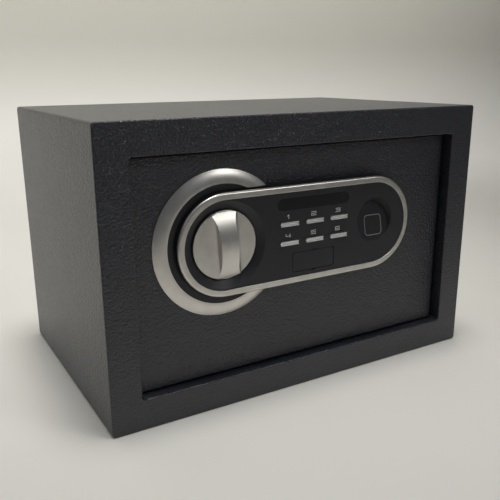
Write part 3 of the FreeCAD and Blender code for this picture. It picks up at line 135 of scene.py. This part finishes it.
class Finish:
    """A material under construction: one Principled shader and what feeds it."""

    def __init__(self, name, **constants):
        self.material = bpy.data.materials.new(name)
        self.material.use_nodes = True
        self.tree = self.material.node_tree
        self.tree.nodes.clear()
        self.shader = self.tree.nodes.new("ShaderNodeBsdfPrincipled")
        output = self.tree.nodes.new("ShaderNodeOutputMaterial")
        self.tree.links.new(self.shader.outputs["BSDF"], output.inputs["Surface"])
        self.place = self.node("ShaderNodeTexCoord", {}, {}, "Object")
        self.set(**constants)

    def set(self, **terms):
        """Sets sockets of the shader by name, with _ for each space."""
        for name, term in terms.items():
            feed(self.tree, self.shader.inputs[name.replace("_", " ")], term)
        return self

    def node(self, kind, settings, sockets, out=0):
        return new_node(self.tree, kind, settings, sockets, out)

    def noise(self, size, detail=2.0, rough=0.5, place=None, out="Fac", distort=0.0):
        """Noise whose features are about size metres across."""
        return self.node("ShaderNodeTexNoise", {}, {
            "Vector": place or self.place, "Scale": 1 / size, "Detail": detail,
            "Roughness": rough, "Distortion": distort}, out)

    def cells(self, size, feature="SMOOTH_F1", place=None, out="Distance", randomness=1.0):
        """Cells about size metres across."""
        return self.node("ShaderNodeTexVoronoi", {"feature": feature}, {
            "Vector": place or self.place, "Scale": 1 / size, "Randomness": randomness}, out)

    def axis(self, letter):
        return self.node("ShaderNodeSeparateXYZ", {}, {"Vector": self.place}, letter)

    def stretched(self, x=1.0, y=1.0, z=1.0):
        """The place, with each axis scaled."""
        return self.node("ShaderNodeVectorMath", {"operation": "MULTIPLY"},
                         {0: self.place, 1: (x, y, z)})

    def mix(self, share, first, second):
        """From the first colour to the second as share goes from 0 to 1."""
        return self.node("ShaderNodeMix", {"data_type": "RGBA"},
                         {0: share, 6: first, 7: second}, 2)

    def bump(self, height, depth, strength=1.0, under=None):
        """A surface raised by height times depth metres."""
        sockets = {"Height": height, "Distance": depth, "Strength": strength}
        if under is not None:
            sockets["Normal"] = under
        return self.node("ShaderNodeBump", {}, sockets)


# ---------------------------------------------------------------- finishes

def powder_coat():
    """Black powder coat with a pebbled grain of about two millimetres, and painted glint specks."""
    coat = Finish("powder_coat", IOR=1.66)
    drift = coat.noise(3 * MM, detail=1.0, out="Color")
    bent = coat.node("ShaderNodeVectorMath", {"operation": "MULTIPLY_ADD"},
                     {0: drift, 1: (1.6 * MM, 1.6 * MM, 1.6 * MM), 2: coat.place})
    pebbles = coat.cells(1.7 * MM, place=bent)
    worms = coat.noise(1.25 * MM, detail=1.5, rough=0.4, distort=0.6)
    fine = coat.noise(0.6 * MM, detail=2.0, rough=0.5)
    swell = coat.noise(22 * MM, detail=1.0)
    tone = coat.noise(60 * MM, detail=3.0)
    # Painted glints: small lighter specks mixed into the base colour to stand for light catching the grain.
    glint_specks = coat.noise(0.5 * MM, detail=1.0).step(0.74, 0.82)
    body = coat.mix(tone.step(0.3, 0.7), colour(0.0135, 0.0150, 0.0235), colour(0.0165, 0.0180, 0.0270))
    grain = worms * 1.1 - pebbles * 0.8 + 0.25 * fine
    coat.set(Base_Color=coat.mix(glint_specks * 0.25, body, colour(0.05, 0.05, 0.052)),
             Roughness=0.33 + 0.10 * (fine - 0.5) + 0.06 * (tone - 0.5),
             Normal=coat.bump(grain + 0.6 * swell, 0.52 * MM, 1.0))
    return coat


def satin_silver():
    """Satin nickel-look plating over fine blasting."""
    silver = Finish("satin_silver", Metallic=1.0)
    blast = silver.noise(0.22 * MM, detail=2.0)
    cloud = silver.noise(9 * MM, detail=2.0)
    silver.set(Base_Color=silver.mix(cloud.step(0.3, 0.7), colour(0.63, 0.608, 0.572),
                                     colour(0.69, 0.667, 0.63)),
               Roughness=0.36 + 0.05 * (cloud - 0.5) + 0.06 * (blast - 0.5),
               Normal=silver.bump(blast, 0.006 * MM, 0.25))
    return silver


def bright_cap():
    """The key caps: lighter, with a fine lengthwise brushing."""
    cap = Finish("key_silver", Metallic=1.0)
    brushed = cap.noise(0.12 * MM, detail=2.0, place=cap.stretched(x=0.06))
    worn = cap.noise(3 * MM, detail=2.0)
    cap.set(Base_Color=cap.mix(worn.step(0.35, 0.75), colour(0.92, 0.92, 0.91), colour(0.84, 0.84, 0.83)),
            Roughness=0.30 + 0.08 * (brushed - 0.5), Normal=cap.bump(brushed, 0.004 * MM, 0.2))
    return cap


def black_plastic():
    """Moulded black plastic with a fine spark-eroded grain."""
    plastic = Finish("black_plastic", IOR=1.48)
    spark = plastic.noise(0.28 * MM, detail=3.0, rough=0.6)
    cloud = plastic.noise(22 * MM, detail=2.0)
    plastic.set(Base_Color=plastic.mix(cloud.step(0.3, 0.7), colour(0.0155, 0.0160, 0.0205),
                                       colour(0.0190, 0.0195, 0.0245)),
                Roughness=0.46 + 0.08 * (spark - 0.5) + 0.05 * (cloud - 0.5),
                Normal=plastic.bump(spark, 0.02 * MM, 0.45))
    return plastic


def dark_window():
    """Polished smoked black acrylic with the faintest haze."""
    window = Finish("dark_window", IOR=1.49)
    haze = window.noise(6 * MM, detail=3.0)
    speck = window.noise(0.35 * MM, detail=1.0).step(0.76, 0.80)
    window.set(Base_Color=window.mix(speck * 0.3, colour(0.0080, 0.0080, 0.0095), colour(0.05, 0.05, 0.05)),
               Roughness=0.12 + 0.06 * haze.step(0.45, 0.8),
               Normal=window.bump(haze, 0.01 * MM, 0.1))
    return window


def reader_pad():
    """The fingerprint reader's pad: satin black glass with a fine etched grain."""
    pad = Finish("reader_pad", IOR=1.55)
    etch = pad.noise(0.15 * MM, detail=2.0)
    smear = pad.noise(4 * MM, detail=3.0)
    pad.set(Base_Color=pad.mix(smear, colour(0.012, 0.012, 0.014), colour(0.017, 0.017, 0.019)),
            Roughness=0.42 + 0.06 * (etch - 0.5) + 0.06 * (smear - 0.5),
            Normal=pad.bump(etch, 0.01 * MM, 0.4))
    return pad


def felt():
    """Dark needle felt: short crossed fibres and soft lumps."""
    cloth = Finish("felt", IOR=1.4, Sheen_Weight=0.35)
    along = cloth.noise(0.35 * MM, detail=3.0, rough=0.7, place=cloth.stretched(x=0.16), distort=1.5)
    across = cloth.noise(0.35 * MM, detail=3.0, rough=0.7, place=cloth.stretched(y=0.16), distort=1.5)
    lumps = cloth.noise(5 * MM, detail=2.0)
    fibre = along.most(across)
    cloth.set(Base_Color=cloth.mix(fibre.step(0.42, 0.72), colour(0.022, 0.022, 0.025),
                                   colour(0.085, 0.085, 0.09)),
              Roughness=0.92 + 0.06 * (fibre - 0.5),
              Normal=cloth.bump(fibre + 0.8 * lumps, 0.35 * MM, 0.8))
    return cloth


def zinc_plate():
    """Bright zinc plate on pressed steel, with cloudy crystals and rolling lines."""
    zinc = Finish("zinc_plate", Metallic=1.0)
    crystal = zinc.cells(4 * MM, feature="F1", out="Color")
    shade = zinc.node("ShaderNodeSeparateColor", {}, {"Color": crystal}, "Red")
    rolled = zinc.noise(0.25 * MM, detail=3.0, place=zinc.stretched(z=0.04))
    tarnish = zinc.noise(16 * MM, detail=4.0, rough=0.6).step(0.55, 0.8)
    clean = zinc.mix(shade, colour(0.58, 0.59, 0.60), colour(0.66, 0.67, 0.67))
    zinc.set(Base_Color=zinc.mix(tarnish * 0.5, clean, colour(0.52, 0.50, 0.44)),
             Roughness=0.30 + 0.12 * shade + 0.10 * (rolled - 0.5) + 0.10 * tarnish,
             Normal=zinc.bump(rolled, 0.012 * MM, 0.5))
    return zinc


def ground_steel():
    """Turned and ground steel, with fine rings round its length and a smear of grease."""
    steel = Finish("ground_steel", Metallic=1.0)
    rings = steel.noise(0.16 * MM, detail=2.0, place=steel.stretched(y=0.03, z=0.03))
    smear = steel.noise(7 * MM, detail=3.0).step(0.5, 0.75)
    steel.set(Base_Color=steel.mix(smear, colour(0.66, 0.66, 0.66), colour(0.52, 0.50, 0.47)),
              Roughness=0.19 + 0.10 * (rings - 0.5) + 0.12 * smear,
              Normal=steel.bump(rings, 0.008 * MM, 0.6))
    return steel


def screw_steel():
    """Zinc-plated screws, a little yellowed in patches."""
    screw = Finish("screw_steel", Metallic=1.0)
    patch = screw.noise(2.2 * MM, detail=3.0).step(0.45, 0.7)
    pits = screw.noise(0.2 * MM, detail=2.0)
    screw.set(Base_Color=screw.mix(patch, colour(0.62, 0.62, 0.60), colour(0.58, 0.55, 0.45)),
              Roughness=0.28 + 0.12 * patch + 0.06 * (pits - 0.5),
              Normal=screw.bump(pits, 0.01 * MM, 0.5))
    return screw


def brass():
    """Machined brass with tool rings, darker where it has been handled."""
    metal = Finish("brass", Metallic=1.0)
    rings = metal.noise(0.18 * MM, detail=2.0, place=metal.stretched(x=0.05, z=0.05))
    stain = metal.noise(3 * MM, detail=3.0).step(0.45, 0.75)
    metal.set(Base_Color=metal.mix(stain, colour(0.75, 0.55, 0.24), colour(0.50, 0.33, 0.13)),
              Roughness=0.24 + 0.14 * stain + 0.08 * (rings - 0.5),
              Normal=metal.bump(rings, 0.01 * MM, 0.5))
    return metal


def board():
    """Green solder mask with copper tracks showing through as raised lines."""
    mask = Finish("solder_mask", IOR=1.5)
    grid = mask.node("ShaderNodeTexBrick", {"offset": 0.5}, {
        "Vector": mask.node("ShaderNodeCombineXYZ", {}, {"X": mask.axis("X"), "Y": mask.axis("Z")}),
        "Scale": 1 / (6 * MM), "Mortar Size": 0.06, "Mortar Smooth": 0.1,
        "Brick Width": 1.4, "Row Height": 0.34}, "Fac")
    broken = mask.noise(9 * MM, detail=1.0).step(0.42, 0.5)
    track = grid * broken
    pads = mask.cells(3.2 * MM, feature="F1", randomness=0.6) < 0.16
    tinned = mask.mix(pads, mask.mix(track, colour(0.008, 0.075, 0.030), colour(0.016, 0.150, 0.055)),
                      colour(0.55, 0.54, 0.50))
    mask.set(Base_Color=tinned, Metallic=pads, Roughness=0.30 + 0.10 * mask.noise(2 * MM),
             Normal=mask.bump(track + pads, 0.05 * MM, 0.6))
    return mask


def component():
    """Moulded electronic parts: matt black with a faint grain."""
    part = Finish("component", IOR=1.5)
    grain = part.noise(0.2 * MM, detail=2.0)
    tone = part.cells(9 * MM, feature="F1", out="Color")
    shade = part.node("ShaderNodeSeparateColor", {}, {"Color": tone}, "Green")
    part.set(Base_Color=part.mix(shade, colour(0.018, 0.018, 0.020), colour(0.045, 0.045, 0.050)),
             Roughness=0.5 + 0.12 * (grain - 0.5), Normal=part.bump(grain, 0.02 * MM, 0.5))
    return part


def coil_tape():
    """Amber tape wound over copper, with its wrapped edges."""
    tape = Finish("coil_tape", IOR=1.5)
    turn_high = 3.4 * MM
    turns = (tape.axis("Z") * (2 * math.pi / turn_high) + 2.0 * tape.noise(12 * MM)).sine()
    edge = turns.step(0.93, 1.0)
    wire = tape.noise(0.3 * MM, detail=2.0, place=tape.stretched(x=0.1, y=0.1))
    amber = tape.mix(wire, colour(0.42, 0.15, 0.020), colour(0.60, 0.26, 0.045))
    tape.set(Base_Color=tape.mix(edge, amber, colour(0.24, 0.08, 0.015)),
             Roughness=0.26 + 0.15 * wire, Normal=tape.bump(wire * 0.5 - edge, 0.06 * MM, 0.7))
    return tape


def cell_sleeve():
    """Shrink sleeve on the cells: dark body, one copper-coloured end band, bare steel tips."""
    band_long, cap_end, button_end, blur = 20 * MM, 1.2 * MM, 2.6 * MM, 0.2 * MM
    sleeve = Finish("cell_sleeve", IOR=1.5)
    low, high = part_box("battery_cells")
    z = sleeve.axis("Z")
    row = sleeve.noise(1.5 * MM, detail=2.0)
    band = z.step(high.z - band_long, high.z - band_long + blur)
    cap = 1 - z.step(low.z + cap_end, low.z + cap_end + blur)
    tip = cap.most(z.step(high.z - button_end, high.z - button_end + blur))
    body = sleeve.mix(band, colour(0.012, 0.014, 0.020), colour(0.42, 0.19, 0.06))
    sleeve.set(Base_Color=sleeve.mix(tip, body, colour(0.62, 0.62, 0.60)), Metallic=tip.most(band * 0.6),
               Roughness=0.26 + 0.06 * (row - 0.5), Normal=sleeve.bump(row, 0.03 * MM, 0.25))
    return sleeve


def lead():
    """PVC-covered leads, with a dull skin and faint stretch marks."""
    skin = Finish("lead_red", IOR=1.5)
    marks = skin.noise(0.8 * MM, detail=3.0)
    skin.set(Base_Color=skin.mix(marks, colour(0.30, 0.012, 0.010), colour(0.40, 0.025, 0.018)),
             Roughness=0.42 + 0.12 * (marks - 0.5), Normal=skin.bump(marks, 0.03 * MM, 0.4))
    return skin


def red_button():
    """Glossy red moulding with a soft flow mark."""
    button = Finish("red_button", IOR=1.5)
    flow = button.noise(3 * MM, detail=2.0)
    button.set(Base_Color=button.mix(flow, colour(0.36, 0.014, 0.010), colour(0.46, 0.022, 0.016)),
               Roughness=0.22 + 0.08 * (flow - 0.5), Normal=button.bump(flow, 0.05 * MM, 0.3))
    return button


def print_white():
    """White ink printed on plastic, slightly uneven."""
    ink = Finish("white_print", IOR=1.45)
    patchy = ink.noise(0.3 * MM, detail=2.0)
    ink.set(Base_Color=ink.mix(patchy, colour(0.80, 0.80, 0.80), colour(0.93, 0.93, 0.93)),
            Roughness=0.5 + 0.1 * (patchy - 0.5), Normal=ink.bump(patchy, 0.01 * MM, 0.4))
    return ink


FINISHES = {
    "powder_coat": powder_coat(),
    "felt": felt(),
    "satin_silver": satin_silver(),
    "black_plastic": black_plastic(),
    "dark_window": dark_window(),
    "zinc_steel": zinc_plate(),
    "ground_steel": ground_steel(),
    "screw_steel": screw_steel(),
    "brass": brass(),
    "board": board(),
    "component": component(),
    "coil_tape": coil_tape(),
    "cell_sleeve": cell_sleeve(),
    "lead": lead(),
    "red_button": red_button(),
    "key_cap": bright_cap(),
    "reader_pad": reader_pad(),
}


def paint(piece, finish):
    piece.data.materials.clear()
    piece.data.materials.append(finish.material)


def finish_nodes():
    """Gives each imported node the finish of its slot; the keys and the reader's pad have their own."""
    slots = {part["node"]: part["material_slot"] for part in frame["record"]["subparts"]}
    slots.update({f"key_{number}": "key_cap" for number in STROKES})
    slots["fingerprint_sensor"] = "reader_pad"
    for name, node in frame["nodes"].items():
        paint(node, FINISHES[slots[name]])


def link(piece):
    bpy.context.scene.collection.objects.link(piece)


def mesh_piece(name, mesh):
    """The drawn mesh as a piece in the scene."""
    data = bpy.data.meshes.new(name)
    mesh.to_mesh(data)
    mesh.free()
    piece = bpy.data.objects.new(name, data)
    link(piece)
    return piece


# ---------------------------------------------------------------- printed digits

DIGIT_WIDE = 3.9 * MM
DIGIT_TALL = 2.5 * MM
DIGIT_LEFT = 0.7 * MM
DIGIT_ABOVE = 1.3 * MM
STROKE = 0.42 * MM
INK = 0.05 * MM

# Each digit's strokes, from point to point of a frame that goes from 0 to 1 across and up.
STROKES = {
    1: [((0.25, 0.72), (0.55, 1.0)), ((0.55, 1.0), (0.55, 0.0))],
    2: [((0, 1), (1, 1)), ((1, 1), (1, 0.5)), ((1, 0.5), (0, 0.5)), ((0, 0.5), (0, 0)), ((0, 0), (1, 0))],
    3: [((0, 1), (1, 1)), ((1, 1), (1, 0)), ((1, 0.5), (0.15, 0.5)), ((1, 0), (0, 0))],
    4: [((0, 1), (0, 0.42)), ((0, 0.42), (1, 0.42)), ((0.85, 1), (0.85, 0))],
    5: [((1, 1), (0, 1)), ((0, 1), (0, 0.5)), ((0, 0.5), (1, 0.5)), ((1, 0.5), (1, 0)), ((1, 0), (0, 0))],
    6: [((1, 1), (0, 1)), ((0, 1), (0, 0)), ((0, 0), (1, 0)), ((1, 0), (1, 0.5)), ((1, 0.5), (0, 0.5))],
}


def digit(number, centre, face_y, finish):
    """A squared printed digit, raised by the thickness of its ink."""
    mesh = bmesh.new()
    for start, end in STROKES[number]:
        a, b = (Vector(((x - 0.5) * DIGIT_WIDE, 0, (z - 0.5) * DIGIT_TALL)) for x, z in (start, end))
        run = (b - a).normalized() * STROKE / 2
        side = Vector((-run.z, 0, run.x))
        corners = (a - run - side, b + run - side, b + run + side, a - run + side)
        back = [mesh.verts.new(corner + Vector((centre.x, face_y, centre.z))) for corner in corners]
        front = [mesh.verts.new(vert.co - Vector((0, INK, 0))) for vert in back]
        mesh.faces.new(front)
        for n in range(4):
            mesh.faces.new((back[n], back[(n + 1) % 4], front[(n + 1) % 4], front[n]))
    bmesh.ops.recalc_face_normals(mesh, faces=mesh.faces)
    piece = mesh_piece(f"digit_{number}", mesh)
    paint(piece, finish)
    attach(piece, "door")


def printed_digits():
    """Each key's digit, over the key and a little to its left."""
    ink = print_white()
    face_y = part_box("key_cover")[0].y
    for number in STROKES:
        low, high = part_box(f"key_{number}")
        centre = Vector(((low.x + high.x) / 2 - DIGIT_LEFT, 0, high.z + DIGIT_ABOVE + DIGIT_TALL / 2))
        digit(number, centre, face_y, ink)


# ---------------------------------------------------------------- studio

FLOOR_AHEAD = 9.0
HALF_WIDE = 8.0
WALL_BEHIND = 0.95
WALL_HIGH = 3.0
SWEEP = 0.30


def studio():
    """A pale floor that curves up into a pale wall."""
    low, high = CAD_BOX
    behind = high.y + WALL_BEHIND
    profile = [(low.y - FLOOR_AHEAD, 0.0), (behind - SWEEP, 0.0)]
    for degrees in range(10, 91, 10):
        angle = math.radians(degrees)
        profile.append((behind - SWEEP + SWEEP * math.sin(angle), SWEEP - SWEEP * math.cos(angle)))
    profile.append((behind, WALL_HIGH))
    mesh = bmesh.new()
    rows = [[mesh.verts.new((x, y, z + low.z)) for x in (-HALF_WIDE, HALF_WIDE)] for y, z in profile]
    for first, second in zip(rows, rows[1:]):
        face = mesh.faces.new((first[0], first[1], second[1], second[0]))
        face.smooth = True
    backdrop = mesh_piece("backdrop", mesh)
    paper = Finish("backdrop", Roughness=0.55)
    wall = paper.axis("Z").step(0.0, 0.4)
    mottle = paper.noise(0.25, detail=3.0)
    floor = paper.mix(mottle, colour(0.66, 0.645, 0.61), colour(0.69, 0.675, 0.64))
    paper.set(Base_Color=paper.mix(wall, floor, colour(0.60, 0.585, 0.52)))
    paint(backdrop, paper)


def hang(data, place, target, power, tint):
    """Puts a lamp at place, turned towards target."""
    data.energy = power
    data.color = tint
    lamp = bpy.data.objects.new(data.name, data)
    lamp.location = place
    lamp.rotation_euler = (Vector(target) - Vector(place)).to_track_quat("-Z", "Y").to_euler()
    link(lamp)


def softbox(name, place, target, wide, tall, power, tint=(1.0, 0.99, 0.96), spread=180):
    """A rectangular lamp, its light held within spread degrees."""
    data = bpy.data.lights.new(name, "AREA")
    data.shape = "RECTANGLE"
    data.size = wide
    data.size_y = tall
    data.spread = math.radians(spread)
    hang(data, place, target, power, tint)


def pool(place, target, spread, power, tint):
    """A soft-edged round pool of light from above."""
    data = bpy.data.lights.new("pool", "SPOT")
    data.spot_size = math.radians(spread)
    data.spot_blend = 0.9
    data.shadow_soft_size = 0.30
    hang(data, place, target, power, tint)


def lights():
    """Soft light from above and the left, a wash on the wall and a small glint for the knob."""
    low, high = CAD_BOX
    middle = (low + high) / 2
    pool(place=(0.02, -0.13, 1.9), target=(0.05, -0.01, 0.0), spread=38, power=102, tint=(1.0, 0.985, 0.95))
    softbox("ceiling", place=(-0.2, 0.55, 2.0), target=(0.0, 0.5, 0.0), wide=1.2, tall=0.8, power=3)
    softbox("wall_wash", place=(0.25, 0.30, 1.7), target=(0.20, 1.05, 0.72), wide=2.8, tall=0.3,
            power=15.5, spread=100)
    softbox("left_window", place=(-1.5, 0.10, 1.5), target=middle, wide=1.0, tall=1.2,
            power=4.5, tint=(0.97, 0.99, 1.0))
    softbox("knob_glint", place=(0.72, -1.09, 1.08), target=(-0.068, -0.10, 0.116), wide=0.40, tall=0.40,
            power=0.13, spread=30)
    world = bpy.data.worlds.new("room")
    world.use_nodes = True
    background = world.node_tree.nodes["Background"].inputs
    background["Color"].default_value = colour(0.88, 0.93, 1.0)
    background["Strength"].default_value = 0.11
    bpy.context.scene.world = world
    bpy.context.scene.view_settings.view_transform = "Standard"


# ---------------------------------------------------------------- camera

AIM_ASIDE = -52.5 * MM
AIM_UP = 11.0 * MM
AZIMUTH = 30.51
ELEVATION = 15.70
ROLL = -0.34
DISTANCE = 0.4257
LENS = 45.61
FILM_WIDE = 36.0
NEAREST = 0.01


def camera():
    """Looks at the door from its left and a little above."""
    low, high = CAD_BOX
    face_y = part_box("front_frame")[0].y
    aim = Vector(((low.x + high.x) / 2 + AIM_ASIDE, face_y, (low.z + high.z) / 2 + AIM_UP))
    azimuth, elevation = math.radians(AZIMUTH), math.radians(ELEVATION)
    back = Vector((-math.sin(azimuth) * math.cos(elevation), -math.cos(azimuth) * math.cos(elevation),
                   math.sin(elevation)))
    data = bpy.data.cameras.new("camera")
    data.lens = LENS
    data.sensor_width = FILM_WIDE
    data.clip_start = NEAREST
    eye = bpy.data.objects.new("camera", data)
    turn = (-back).to_track_quat("-Z", "Y").to_matrix().to_4x4()
    roll = Matrix.Rotation(math.radians(ROLL), 4, "Z")
    eye.matrix_world = Matrix.Translation(aim + back * DISTANCE) @ turn @ roll
    link(eye)
    bpy.context.scene.camera = eye


finish_nodes()
printed_digits()
studio()
lights()
camera()
